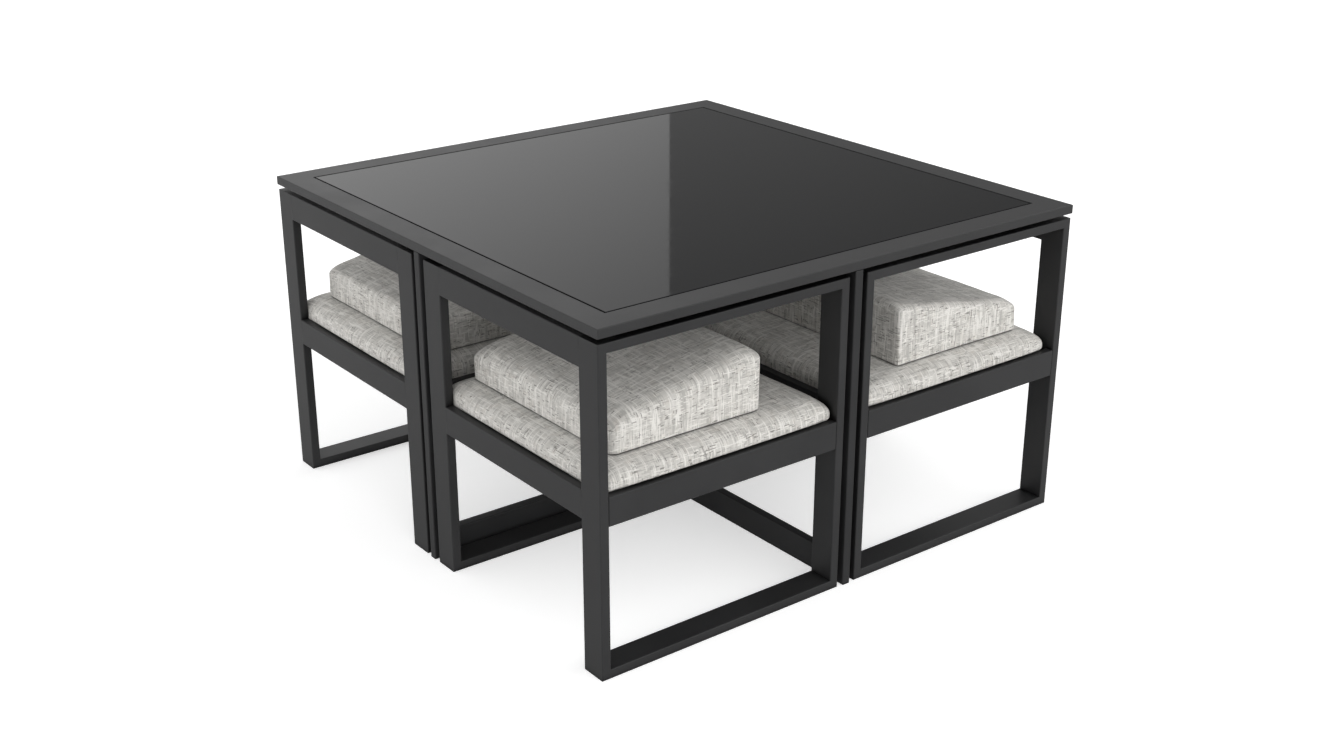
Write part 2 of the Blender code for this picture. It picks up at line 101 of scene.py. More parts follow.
def new_group(name, inputs, outputs):
    """A shader node group with (socket type, name, value) inputs and (type, name) outputs."""
    group = bpy.data.node_groups.new(name, "ShaderNodeTree")
    for kind, label, value in inputs:
        socket = group.interface.new_socket(name=label, in_out="INPUT", socket_type=kind)
        if value is not None:
            socket.default_value = value
    for kind, label in outputs:
        group.interface.new_socket(name=label, in_out="OUTPUT", socket_type=kind)
    return group, group.nodes.new("NodeGroupInput"), group.nodes.new("NodeGroupOutput")


def put(tree, kind, values=None, **settings):
    """Adds a node, sets its properties, and sets or links its inputs."""
    node = tree.nodes.new(kind)
    for label, setting in settings.items():
        setattr(node, label, setting)
    for key, value in (values or {}).items():
        if isinstance(value, bpy.types.NodeSocket):
            tree.links.new(value, node.inputs[key])
        else:
            node.inputs[key].default_value = value
    return node


def calc(tree, operation, a, b=0.0):
    """The result of one sum on two values."""
    return put(tree, "ShaderNodeMath", {0: a, 1: b}, operation=operation).outputs[0]


def step_up(tree, value, low, high, to_low=0.0, to_high=1.0):
    """Smooth rise of a value from to_low at low to to_high at high."""
    node = put(tree, "ShaderNodeMapRange", {
        "Value": value, "From Min": low, "From Max": high, "To Min": to_low, "To Max": to_high,
    }, interpolation_type="SMOOTHSTEP")
    return node.outputs["Result"]


def blend_colour(tree, share, first, second):
    """A share of the second colour over the first."""
    node = put(tree, "ShaderNodeMix", data_type="RGBA")
    for index, value in ((0, share), (6, first), (7, second)):
        if isinstance(value, bpy.types.NodeSocket):
            tree.links.new(value, node.inputs[index])
        else:
            node.inputs[index].default_value = value
    return node.outputs[2]


def grain(tree, vector, scale, detail=2.0, roughness=0.5):
    """Soft noise round 0.5, with so many spots to the metre."""
    node = put(tree, "ShaderNodeTexNoise", {
        "Vector": vector, "Scale": scale, "Detail": detail, "Roughness": roughness,
    }, noise_dimensions="3D")
    return node.outputs["Fac"]


def build_powder_coat():
    """Sprayed and baked paint: fine orange peel, slow tone changes, edges paler from rubbing and
    from a painted highlight, and painted shade darkening seams and narrow gaps.
    """
    tree, given, made = new_group("powder_coat", (
        ("NodeSocketColor", "Paint", (0.02, 0.02, 0.02, 1)),
        ("NodeSocketFloat", "Peel size", PEEL_SIZE),
        ("NodeSocketFloat", "Edge radius", EDGE_RADIUS),
        ("NodeSocketFloat", "Edge rub and highlight", 0.5),
        ("NodeSocketFloat", "Gloss", 0.42),
        ("NodeSocketFloat", "Seam shade reach", SEAM_REACH),
    ), (
        ("NodeSocketColor", "Colour"),
        ("NodeSocketFloat", "Roughness"),
        ("NodeSocketFloat", "Peel"),
        ("NodeSocketVector", "Rounded"),
    ))
    place = put(tree, "ShaderNodeTexCoord").outputs["Object"]
    peel = grain(tree, place, calc(tree, "DIVIDE", 1.0, given.outputs["Peel size"]), 3.0, 0.55)
    cloud = grain(tree, place, CLOUD_SCALE, 3.0)
    speck = grain(tree, place, FLECK_SCALE, 0.0)
    rounded = put(tree, "ShaderNodeBevel", {"Radius": given.outputs["Edge radius"]},
                  samples=LOOKS)
    facing = put(tree, "ShaderNodeNewGeometry").outputs["True Normal"]
    match = put(tree, "ShaderNodeVectorMath", {0: rounded.outputs[0], 1: facing},
                operation="DOT_PRODUCT").outputs["Value"]
    edge = step_up(tree, match, *EDGE_TURN)
    # Edges paled partly by wear and partly as a painted highlight.
    rub = step_up(tree, grain(tree, place, WEAR_SCALE, 4.0, 0.6), *WEAR_RANGE, EDGE_HIGHLIGHT_FLOOR)
    worn_and_highlit = calc(tree, "MULTIPLY", calc(tree, "MULTIPLY", edge, rub), given.outputs["Edge rub and highlight"])
    tone = step_up(tree, cloud, *CLOUD_RANGE, 1 - CLOUD_TONE, 1 + CLOUD_TONE)
    fleck = step_up(tree, speck, *FLECK_RANGE, 1.0, FLECK_GAIN)
    # Painted shade: seams and narrow gaps between parts are darkened in the paint colour.
    open_share = put(tree, "ShaderNodeAmbientOcclusion", {
        "Distance": given.outputs["Seam shade reach"]}, samples=LOOKS).outputs["AO"]
    seam = step_up(tree, open_share, *SEAM_RANGE, SEAM_SHADE)
    paint = put(tree, "ShaderNodeVectorMath", {0: given.outputs["Paint"]}, operation="SCALE")
    tree.links.new(calc(tree, "MULTIPLY", calc(tree, "MULTIPLY", tone, fleck), seam),
                   paint.inputs["Scale"])
    pale = put(tree, "ShaderNodeVectorMath", {0: paint.outputs[0]}, operation="SCALE")
    pale.inputs["Scale"].default_value = PALE_EDGE_GAIN
    colour = blend_colour(tree, worn_and_highlit, paint.outputs[0], pale.outputs[0])
    spread = step_up(tree, cloud, *CLOUD_RANGE, -CLOUD_GLOSS, CLOUD_GLOSS)
    tree.links.new(colour, made.inputs["Colour"])
    tree.links.new(calc(tree, "ADD", given.outputs["Gloss"], spread), made.inputs["Roughness"])
    tree.links.new(peel, made.inputs["Peel"])
    tree.links.new(rounded.outputs[0], made.inputs["Rounded"])
    return tree


powder_coat = build_powder_coat()


def new_material(name):
    """A new material, its node tree and its main shader."""
    material = bpy.data.materials.new(name)
    material.use_nodes = True
    shader = material.node_tree.nodes["Principled BSDF"]
    return material, material.node_tree, shader


def link_surface(tree, shader, colour, roughness, height, strength, depth):
    """Links a surface's colour, roughness and fine relief to its shader; gives the relief."""
    relief = put(tree, "ShaderNodeBump", {
        "Height": height, "Strength": strength, "Distance": depth,
    })
    tree.links.new(colour, shader.inputs["Base Color"])
    tree.links.new(roughness, shader.inputs["Roughness"])
    tree.links.new(relief.outputs[0], shader.inputs["Normal"])
    return relief


def painted_metal(name, colour, gloss, wear_and_highlight, peel_depth, specular=PAINT_SPECULAR,
                  seam_shade_reach=SEAM_REACH, soft_edges=True):
    """Powder coated tube in the group's paint, with the peel as a fine relief."""
    material, tree, shader = new_material(name)
    coat = put(tree, "ShaderNodeGroup", node_tree=powder_coat)
    coat.inputs["Paint"].default_value = (*colour, 1)
    coat.inputs["Gloss"].default_value = gloss
    coat.inputs["Edge rub and highlight"].default_value = wear_and_highlight
    coat.inputs["Seam shade reach"].default_value = seam_shade_reach
    relief = link_surface(tree, shader, coat.outputs["Colour"], coat.outputs["Roughness"],
                          coat.outputs["Peel"], PEEL_STRENGTH, peel_depth)
    if soft_edges:
        tree.links.new(coat.outputs["Rounded"], relief.inputs["Normal"])
    shader.inputs["IOR"].default_value = COMMON_IOR
    shader.inputs["Specular IOR Level"].default_value = specular
    return material


def dress(names, material):
    """Gives CAD nodes their finished material."""
    for name in names:
        slots = nodes[name].data.materials
        slots.clear()
        slots.append(material)


base_paint = painted_metal("base_paint", BASE_COLOUR, gloss=0.44, wear_and_highlight=0.35,
                           peel_depth=0.00006)
dress(("base_frame_long", "base_frame_cross"), base_paint)

# The tabletop frame: the same tube laid flat and mitred, with a rebate and a ledge inside for
# the glass, and screwed to the base frames through four brackets. It is the most handled part of
# the set, so its edges are the most rubbed; their paling is also the strongest painted highlight.
TOP_COLOUR = (0.0145, 0.0145, 0.0150)

top_paint = painted_metal("frame_paint", TOP_COLOUR, gloss=0.44, wear_and_highlight=0.6,
                          peel_depth=0.00005, specular=0.42)
dress(("tabletop_frame",), top_paint)

# The rubber strip round the glass: a black extruded angle, pressed into the rebate. It beds the
# edge of the pane and shows as a thin dark line between the glass and the band.
RUBBER_COLOUR = (0.006, 0.006, 0.006)
RUBBER_DUST_COLOUR = (0.012, 0.0117, 0.0110)
RUBBER_DUST_SCALE = 160.0
RUBBER_DUST_RANGE = (0.45, 0.8)
RUBBER_ROUGHNESS = (0.62, 0.85)
RUBBER_SKIN_SCALE = 900.0
RUBBER_SKIN_RELIEF = (0.3, 0.0001)      # strength and depth
RUBBER_SPECULAR = 0.12


def rubber():
    """Matt black rubber, with a little dust in it."""
    material, tree, shader = new_material("gasket_rubber")
    place = put(tree, "ShaderNodeTexCoord").outputs["Object"]
    dust = step_up(tree, grain(tree, place, RUBBER_DUST_SCALE, 4.0, 0.65), *RUBBER_DUST_RANGE)
    tone = blend_colour(tree, dust, (*RUBBER_COLOUR, 1), (*RUBBER_DUST_COLOUR, 1))
    rough = step_up(tree, dust, 0.0, 1.0, *RUBBER_ROUGHNESS)
    link_surface(tree, shader, tone, rough, grain(tree, place, RUBBER_SKIN_SCALE),
                 *RUBBER_SKIN_RELIEF)
    shader.inputs["Specular IOR Level"].default_value = RUBBER_SPECULAR
    return material


dress(("glass_gasket",), rubber())

# The pane: 5 mm tempered glass, enamelled black on its underside, its ground edges bedded in the
# rubber strip. It is polished, so it mirrors the studio; wiping has left it very slightly uneven
# in gloss.
GLASS_COLOUR = (0.0065, 0.0065, 0.0070)
GLASS_DUST_COLOUR = (0.05, 0.05, 0.05)
GLASS_DUST_SCALE = 1400.0
GLASS_DUST_RANGE = (0.74, 0.80)
GLASS_DUST_SHARE = 0.25
WIPE_ANGLE = 28
WIPE_STRETCH = (1.0, 6.0, 1.0)
WIPE_SCALE = 5.0
WIPE_RANGE = (0.35, 0.75)
GLASS_ROUGHNESS = (0.025, 0.06)
GLASS_WAVE_SCALE = 9.0
GLASS_WAVE_RELIEF = (0.04, 0.0004)
GLASS_SPECULAR = 0.22


def black_glass():
    """Polished black glass, with wiping marks in its gloss and a few specks of dust."""
    material, tree, shader = new_material("glass")
    place = put(tree, "ShaderNodeTexCoord").outputs["Object"]
    wipe = put(tree, "ShaderNodeMapping", {
        "Vector": place, "Scale": WIPE_STRETCH, "Rotation": (0, 0, math.radians(WIPE_ANGLE)),
    })
    smear = grain(tree, wipe.outputs[0], WIPE_SCALE, 5.0, 0.6)
    dust = step_up(tree, grain(tree, place, GLASS_DUST_SCALE, 1.0), *GLASS_DUST_RANGE)
    tone = blend_colour(tree, calc(tree, "MULTIPLY", dust, GLASS_DUST_SHARE),
                        (*GLASS_COLOUR, 1), (*GLASS_DUST_COLOUR, 1))
    rough = step_up(tree, smear, *WIPE_RANGE, *GLASS_ROUGHNESS)
    link_surface(tree, shader, tone, rough, grain(tree, place, GLASS_WAVE_SCALE, 1.0),
                 *GLASS_WAVE_RELIEF)
    shader.inputs["IOR"].default_value = COMMON_IOR
    shader.inputs["Specular IOR Level"].default_value = GLASS_SPECULAR
    return material


dress(("glass_top",), black_glass())

# Two flat bars halved into each other under the middle of the pane carry it, their ends welded
# to the ledge. They are painted with the base frames, and nobody handles them.
dress(("glass_crossbar_long", "glass_crossbar_short"), base_paint)

# Four brackets folded from 3 mm zinc-plated plate hold the top on the base frames. Each has a
# pan-head screw up into the band and one through its leg into the tube.
SCREW_HEAD = 0.0046                # radius of the head
SCREW_RISE = 0.0026
SCREW_FULLNESS = 0.8               # power of the dome's outline: less is fuller
SCREW_RECESS = 0.0019
SCREW_CROSS = 0.0029               # reach of the recess's arms
SCREW_CROSS_POWER = 18             # higher gives narrower arms
SCREW_RINGS = 8
SCREW_TURNS = 32
BRACKET_PLATE = 0.003
ZINC_COLOUR = (0.40, 0.41, 0.42)
ZINC_DULL_COLOUR = (0.27, 0.275, 0.28)
ZINC_CLOUD_SCALE = 70.0
ZINC_CLOUD_RANGE = (0.35, 0.7)
SPANGLE_SCALE = 260.0
ZINC_ROUGHNESS = (0.30, 0.48)
ZINC_SKIN_SCALE = 1500.0
ZINC_SKIN_RELIEF = (0.2, 0.00005)


def plated_zinc():
    """Bright zinc plating: faint spangle in the gloss, cloudy tone."""
    material, tree, shader = new_material("zinc")
    place = put(tree, "ShaderNodeTexCoord").outputs["Object"]
    spangle = put(tree, "ShaderNodeTexVoronoi", {"Vector": place, "Scale": SPANGLE_SCALE})
    cloud = grain(tree, place, ZINC_CLOUD_SCALE, 4.0)
    tone = blend_colour(tree, step_up(tree, cloud, *ZINC_CLOUD_RANGE), (*ZINC_COLOUR, 1),
                        (*ZINC_DULL_COLOUR, 1))
    rough = step_up(tree, spangle.outputs["Distance"], 0.0, 1.0, *ZINC_ROUGHNESS)
    link_surface(tree, shader, tone, rough, grain(tree, place, ZINC_SKIN_SCALE),
                 *ZINC_SKIN_RELIEF)
    shader.inputs["Metallic"].default_value = 1.0
    return material


def closed_mesh(name, shape):
    """The mesh of a closed shape, its faces turned outwards."""
    bmesh.ops.recalc_face_normals(shape, faces=shape.faces)
    mesh = bpy.data.meshes.new(name)
    shape.to_mesh(mesh)
    shape.free()
    return mesh


def pan_head(name, place, outward):
    """A domed screw head with a cross-shaped recess, on its plate at place."""
    shape = bmesh.new()
    rings = []
    for step in range(SCREW_RINGS):
        angle = step / SCREW_RINGS * math.pi / 2
        radius = SCREW_HEAD * math.cos(angle) ** SCREW_FULLNESS
        ring = []
        for turn in range(SCREW_TURNS):
            around = turn / SCREW_TURNS * 2 * math.pi
            arm = max(abs(math.cos(around)), abs(math.sin(around))) ** SCREW_CROSS_POWER
            sunk = arm * max(0.0, 1 - radius / SCREW_CROSS) * SCREW_RECESS
            ring.append(shape.verts.new((radius * math.cos(around), radius * math.sin(around),
                                         SCREW_RISE * math.sin(angle) - sunk)))
        rings.append(ring)
    for low, high in zip(rings, rings[1:]):
        for k in range(SCREW_TURNS):
            after = (k + 1) % SCREW_TURNS
            shape.faces.new((low[k], low[after], high[after], high[k]))
    top = shape.verts.new((0, 0, SCREW_RISE - SCREW_RECESS))
    for k in range(SCREW_TURNS):
        shape.faces.new((rings[-1][k], rings[-1][(k + 1) % SCREW_TURNS], top))
    shape.faces.new(rings[0])
    aim = Vector(outward).to_track_quat("Z", "Y").to_matrix().to_4x4()
    bmesh.ops.transform(shape, matrix=Matrix.Translation(place) @ aim, verts=shape.verts)
    mesh = closed_mesh(name, shape)
    mesh.shade_smooth()
    return placed(name, mesh)


zinc = plated_zinc()
for side in ("near_left", "near_right", "far_left", "far_right"):
    bracket = side + "_bracket"
    dress((bracket,), zinc)
    low, high = (Vector(corner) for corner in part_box(bracket))
    middle = (low + high) / 2
    along_x = high.x - low.x > high.y - low.y
    axis = Vector((0, 1, 0)) if along_x else Vector((1, 0, 0))
    outward = axis if middle.dot(axis) > 0 else -axis
    near_face = middle - outward * (abs((high - low).dot(axis)) / 2)
    leg_place = near_face + outward * BRACKET_PLATE
    leg_place.z = high.z - (BRACKET_PLATE + high.z - low.z) / 2
    flange_place = near_face + outward * (BRACKET_PLATE + abs((high - low).dot(axis))) / 2
    flange_place.z = high.z - BRACKET_PLATE
    for label, place, aim in (("leg", leg_place, outward), ("flange", flange_place, (0, 0, -1))):
        screw = pan_head(side + "_" + label + "_screw", place, aim)
        screw.data.materials.append(zinc)
        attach(screw, "table")

# The chair frames: two mitred hoops of flat aluminium tube for each chair, joined by side, back
# and front rails welded between the posts. The welds are ground flush before powder coating.
CHAIRS = ("near", "left", "right", "far")
CHAIR_COLOUR = (0.0222, 0.0222, 0.0228)
CHAIR_GLOSS = 0.42
CHAIR_PEEL_DEPTH = 0.00005
# The hoops take a longer reach of painted shade, for the dark gap under the top.
HOOP_SEAM_SHADE_REACH = 0.016            # the hoops stand close under the top and by each other
HOOPS = ("outer_hoop", "inner_hoop")
RAILS = ("outer_seat_rail", "inner_seat_rail", "back_top_rail", "back_seat_rail",
         "front_seat_rail")

rail_paint = painted_metal("chair_paint", CHAIR_COLOUR, CHAIR_GLOSS, wear_and_highlight=0.5,
                           peel_depth=CHAIR_PEEL_DEPTH)
hoop_paint = painted_metal("hoop_paint", CHAIR_COLOUR, CHAIR_GLOSS, wear_and_highlight=0.5,
                           peel_depth=CHAIR_PEEL_DEPTH, seam_shade_reach=HOOP_SEAM_SHADE_REACH)
for chair in CHAIRS:
    dress([chair + "_chair_" + rail for rail in RAILS], rail_paint)
    dress([chair + "_chair_" + hoop for hoop in HOOPS], hoop_paint)

# The welds of the cross rails: run round each joint between rail and post, ground flush and
# painted over, so the faces of rail and post read as one. The side rails' joints stay open seams.
WELD_LENGTH = 0.006
WELD_PROUD = 0.00005
WELD_SHARP_ANGLE = 35
TUBE_EDGE = 0.002
TUBE_ARC_STEPS = 4


def weld_collar(name, middle, thick, tall):
    """The tube's own outline, a touch proud of it, for a short way along Y."""
    shape = bmesh.new()
    half_a, half_b = thick / 2 + WELD_PROUD, tall / 2 + WELD_PROUD
    outline = []
    for quarter, (side_a, side_b) in enumerate(((1, 1), (-1, 1), (-1, -1), (1, -1))):
        for step in range(TUBE_ARC_STEPS + 1):
            angle = (quarter + step / TUBE_ARC_STEPS) * math.pi / 2
            outline.append((side_a * (half_a - TUBE_EDGE) + TUBE_EDGE * math.cos(angle),
                            side_b * (half_b - TUBE_EDGE) + TUBE_EDGE * math.sin(angle)))
    ends = []
    for y in (-WELD_LENGTH / 2, WELD_LENGTH / 2):
        ends.append([shape.verts.new((middle.x + a, middle.y + y, middle.z + b))
                     for a, b in outline])
        shape.faces.new(ends[-1])
    for k in range(len(outline)):
        after = (k + 1) % len(outline)
        shape.faces.new((ends[0][k], ends[0][after], ends[1][after], ends[1][k]))
    mesh = closed_mesh(name, shape)
    mesh.set_sharp_from_angle(angle=math.radians(WELD_SHARP_ANGLE))
    return placed(name, mesh)


weld_paint = painted_metal("weld_paint", CHAIR_COLOUR, CHAIR_GLOSS, wear_and_highlight=0.0,
                           peel_depth=CHAIR_PEEL_DEPTH, soft_edges=False)
for chair in CHAIRS:
    for rail in ("back_top_rail", "back_seat_rail", "front_seat_rail"):
        low, high = (Vector(corner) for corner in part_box(chair + "_chair_" + rail))
        for side, y in (("low", low.y), ("high", high.y)):
            middle = Vector(((low.x + high.x) / 2, y, (low.z + high.z) / 2))
            weld = weld_collar(chair + "_" + rail + "_" + side + "_weld", middle,
                               high.x - low.x, high.z - low.z)
            weld.data.materials.append(weld_paint)
            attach(weld, chair + "_chair")

# The seat decks: slatted aluminium panels lying on the cleats of the side rails. They are
# sprayed a little darker and more matt than the frames, and the cushions hide them.
DECK_COLOUR = (0.014, 0.014, 0.0145)

deck_paint = painted_metal("deck_paint", DECK_COLOUR, gloss=0.52, wear_and_highlight=0.2, peel_depth=0.00008)
dress([chair + "_chair_seat_deck" for chair in CHAIRS], deck_paint)

# The seat cushions: foam blocks in loose covers of slub tweed, dropped into the seat frames. The
# rails hold the foot straight; above them the cover swells over the back rail and the outer side
# rail. The full rounded edge shows no piping, only the weave turning over it.
PALE_YARN = (0.72, 0.704, 0.668)
BODY_YARN = (0.535, 0.520, 0.489)
DARK_YARN = (0.15, 0.142, 0.130)
BEIGE_YARN = (0.58, 0.50, 0.43)
YARN_WIDTH = 0.0016
YARN_NOISE_ROUGHNESS = 0.55
YARN_SEED, BUNDLE_SEED, NEP_SEED = 7.3, 3.1, 31.7
AXIS_SEED_STEP = 5
YARN_LAYS = (0.80, 0.62)                # facing along the yarns' axis: none, and all of them
YARN_REACH = (1.0, 1.0, 0.45)           # in slub lengths, for yarns that keep one X, Y or Z
SLUB_LENGTH = 0.042
SLUB_RANGE = (0.57, 0.68)
SLUB_SHARE = 0.85
SHADE_RANGE = (0.41, 0.31)
SHADE_TONE = 0.73
SHADE_SHARE = 0.9
BUNDLE_WIDTH = 5.0                      # in yarns
BUNDLE_LENGTH = 1.6                     # in slub lengths
BUNDLE_LEAN = (0.75, 0.75, 0.55)        # how alike neighbours are, for the same three
NEP_START = (0.76, 0.76, 0.71)          # dark flecks, again for the three
NEP_SOFTNESS = 0.05
NEP_WIDTH = 1.25                        # in yarns
NEP_LENGTH = 0.40                       # in slub lengths
NEP_CROWD_SCALE = 30.0
NEP_CROWDING = 0.30
NEP_SHARE = 0.75
TINT_SCALE = 60.0
TINT_RANGE = (0.50, 0.75)
TINT_SHARE = 0.20
OVER_RANGE = (-0.15, 0.15)
OVER_TONE = (0.97, 1.03)                # yarn that dips under, and yarn that lies over
KNOT_RANGE = (0.0, 0.45)
KNOT_TONE = 0.86                        # the gaps between the yarns
# Painted shade: the cloth darkens where other surfaces stand close, in creases and where cushions
# meet each other and the rails.
CREASE_REACH = 0.014
CREASE_RANGE = (0.08, 0.70)             # open share of the surroundings: shut, and free
CREASE_SHADE = 0.68
CREASE_UPWARD = (0.3, 0.8)              # how far a face looks up: a side, and the top
CLOTH_ROUGHNESS = (0.95, 0.86)          # plain yarn, and slub
CLOTH_RELIEF = (0.5, 0.0006)
CLOTH_SHEEN = 0.12
CLOTH_SHEEN_ROUGHNESS = 0.6
CLOTH_SPECULAR = 0.25


def build_slub_tweed():
    """Plain weave of uneven yarns, laid round a block: slubs and flecks run three ways.

    The yarns that keep one X lie on the top and the Y sides, those that keep one Y on the top
    and the X sides, and those that keep one Z on all four sides, so all turn over the edges."""
    tree, given, made = new_group("slub_tweed", (
        ("NodeSocketVector", "Place", None),
        ("NodeSocketVector", "Facing", None),
        ("NodeSocketColor", "Body", (*BODY_YARN, 1)),
        ("NodeSocketColor", "Slub", (*PALE_YARN, 1)),
        ("NodeSocketColor", "Fleck", (*DARK_YARN, 1)),
        ("NodeSocketColor", "Tint", (*BEIGE_YARN, 1)),
        ("NodeSocketFloat", "Yarn width", YARN_WIDTH),
        ("NodeSocketFloat", "Slub length", SLUB_LENGTH),
        ("NodeSocketFloat", "Crease shade reach", CREASE_REACH),
        ("NodeSocketFloat", "Side crease shade", 1.0),
    ), (
        ("NodeSocketColor", "Colour"),
        ("NodeSocketFloat", "Relief"),
        ("NodeSocketFloat", "Roughness"),
    ))
    place = given.outputs["Place"]
    across = put(tree, "ShaderNodeSeparateXYZ", {0: place}).outputs
    facing = put(tree, "ShaderNodeVectorMath", {0: given.outputs["Facing"]},
                 operation="ABSOLUTE")
    facing = put(tree, "ShaderNodeSeparateXYZ", {0: facing.outputs[0]}).outputs
    width, length = given.outputs["Yarn width"], given.outputs["Slub length"]
    lies = [step_up(tree, facing[axis], *YARN_LAYS) for axis in range(3)]

    def drawn(axis, thick, long, seed, detail, snapped=True):
        """Noise drawn out along the yarns that keep one place on an axis."""
        seed += AXIS_SEED_STEP * axis
        parts = [calc(tree, "DIVIDE", across[k], long) for k in range(3)]
        row = calc(tree, "SNAP", across[axis], width) if snapped else across[axis]
        parts[axis] = calc(tree, "ADD", calc(tree, "DIVIDE", row, thick), seed)
        vector = put(tree, "ShaderNodeCombineXYZ", dict(enumerate(parts)))
        return grain(tree, vector.outputs[0], 1.0, detail, YARN_NOISE_ROUGHNESS)

    nep_width = calc(tree, "MULTIPLY", width, NEP_WIDTH)
    nep_length = calc(tree, "MULTIPLY", length, NEP_LENGTH)
    bundle_width = calc(tree, "MULTIPLY", width, BUNDLE_WIDTH)
    bundle_length = calc(tree, "MULTIPLY", length, BUNDLE_LENGTH)
    crowd = calc(tree, "SUBTRACT", grain(tree, place, NEP_CROWD_SCALE, 1.0), 0.5)
    crowd = calc(tree, "MULTIPLY", crowd, NEP_CROWDING)
    slubs, shades, neps, waves = [], [], [], []
    for axis in range(3):
        reach = calc(tree, "MULTIPLY", length, YARN_REACH[axis])
        bundle = drawn(axis, bundle_width, bundle_length, BUNDLE_SEED, 1.0, snapped=False)
        lean = calc(tree, "MULTIPLY", calc(tree, "SUBTRACT", bundle, 0.5), BUNDLE_LEAN[axis])
        yarn = calc(tree, "ADD", drawn(axis, width, reach, YARN_SEED, 1.0), lean)
        dark = calc(tree, "ADD", drawn(axis, nep_width, nep_length, NEP_SEED, 0.0), crowd)
        start = NEP_START[axis]
        for masks, mask in ((slubs, step_up(tree, yarn, *SLUB_RANGE)),
                            (shades, step_up(tree, yarn, *SHADE_RANGE)),
                            (neps, step_up(tree, dark, start, start + NEP_SOFTNESS))):
            masks.append(calc(tree, "MULTIPLY", mask, lies[axis]))
        turns = calc(tree, "DIVIDE", calc(tree, "MULTIPLY", across[axis], math.pi), width)
        wave = put(tree, "ShaderNodeMix", {0: lies[axis], 2: 1.0,
                                           3: calc(tree, "SINE", turns)}, data_type="FLOAT")
        waves.append(wave.outputs[0])

    def most(values):
        """The greatest of three masks."""
        return calc(tree, "MAXIMUM", calc(tree, "MAXIMUM", values[0], values[1]), values[2])

    slub, shade, nep = most(slubs), most(shades), most(neps)
    weave = calc(tree, "MULTIPLY", calc(tree, "MULTIPLY", waves[0], waves[1]), waves[2])
    over = step_up(tree, weave, *OVER_RANGE)
    knot = calc(tree, "ABSOLUTE", weave)
    tint = step_up(tree, grain(tree, place, TINT_SCALE, 3.0), *TINT_RANGE)

    def dimmed(tone, share):
        """A colour brought down to a share of itself."""
        node = put(tree, "ShaderNodeVectorMath", {0: tone}, operation="SCALE")
        socket = node.inputs["Scale"]
        if isinstance(share, bpy.types.NodeSocket):
            tree.links.new(share, socket)
        else:
            socket.default_value = share
        return node.outputs[0]

    tone = blend_colour(tree, calc(tree, "MULTIPLY", tint, TINT_SHARE),
                        given.outputs["Body"], given.outputs["Tint"])
    tone = dimmed(tone, step_up(tree, over, 0.0, 1.0, *OVER_TONE))
    tone = blend_colour(tree, calc(tree, "MULTIPLY", shade, SHADE_SHARE), tone,
                        dimmed(tone, SHADE_TONE))
    for mask, share, yarn in ((slub, SLUB_SHARE, "Slub"), (nep, NEP_SHARE, "Fleck")):
        tone = blend_colour(tree, calc(tree, "MULTIPLY", mask, share), tone,
                            given.outputs[yarn])
    tone = dimmed(tone, step_up(tree, knot, *KNOT_RANGE, KNOT_TONE))
    # Painted shade in creases and contact lines, full on the top, and on the sides at the side
    # share.
    open_share = put(tree, "ShaderNodeAmbientOcclusion", {
        "Distance": given.outputs["Crease shade reach"]}, samples=LOOKS).outputs["AO"]
    shut = step_up(tree, open_share, *CREASE_RANGE, CREASE_SHADE, 0.0)
    strength = step_up(tree, facing[2], *CREASE_UPWARD, given.outputs["Side crease shade"], 1.0)
    tone = dimmed(tone, calc(tree, "SUBTRACT", 1.0, calc(tree, "MULTIPLY", shut, strength)))
    tree.links.new(tone, made.inputs["Colour"])
    relief = calc(tree, "ADD", calc(tree, "MULTIPLY", knot, 0.5),
                  calc(tree, "MULTIPLY", slub, 0.5))
    tree.links.new(relief, made.inputs["Relief"])
    tree.links.new(step_up(tree, slub, 0.0, 1.0, *CLOTH_ROUGHNESS), made.inputs["Roughness"])
    return tree


slub_tweed = build_slub_tweed()


def tweed(name, lift, side_crease_shade):
    """A cushion cover in the tweed, with the cloth's soft sheen."""
    material, tree, shader = new_material(name)
    coords = put(tree, "ShaderNodeTexCoord")
    cloth = put(tree, "ShaderNodeGroup", node_tree=slub_tweed)
    tree.links.new(coords.outputs["Object"], cloth.inputs["Place"])
    tree.links.new(coords.outputs["Normal"], cloth.inputs["Facing"])
    # A lift above 1 gives a lighter copy of the same cloth: painted light.
    for label, yarn in (("Body", BODY_YARN), ("Slub", PALE_YARN)):
        cloth.inputs[label].default_value = (*(part * lift for part in yarn), 1)
    cloth.inputs["Side crease shade"].default_value = side_crease_shade
    link_surface(tree, shader, cloth.outputs["Colour"], cloth.outputs["Roughness"],
                 cloth.outputs["Relief"], *CLOTH_RELIEF)
    shader.inputs["Sheen Weight"].default_value = CLOTH_SHEEN
    shader.inputs["Sheen Roughness"].default_value = CLOTH_SHEEN_ROUGHNESS
    shader.inputs["Specular IOR Level"].default_value = CLOTH_SPECULAR
    return material


CUSHION_STEP = 0.0115
EDGE_STEPS = 4
FOOT_STEPS = 2
TINY = 1e-6                             # keeps a division away from zero
BILLOW_SCALE = 9
RIPPLE_SCALE = 26
RIPPLE_SHARE = 0.4


def block_skin(last):
    """Outside of a block as a grid of quads: the (i, j, k) place of each point, and the quads."""
    index, quads = {}, []
    for fixed in range(3):
        a, b = (fixed + 1) % 3, (fixed + 2) % 3
        for end in (0, last[fixed]):
            for i in range(last[a]):
                for j in range(last[b]):
                    quad = []
                    for step_a, step_b in ((0, 0), (1, 0), (1, 1), (0, 1)):
                        place = [0, 0, 0]
                        place[fixed], place[a], place[b] = end, i + step_a, j + step_b
                        quad.append(index.setdefault(tuple(place), len(index)))
                    quads.append(quad if end else quad[::-1])
    return np.array(list(index)), quads


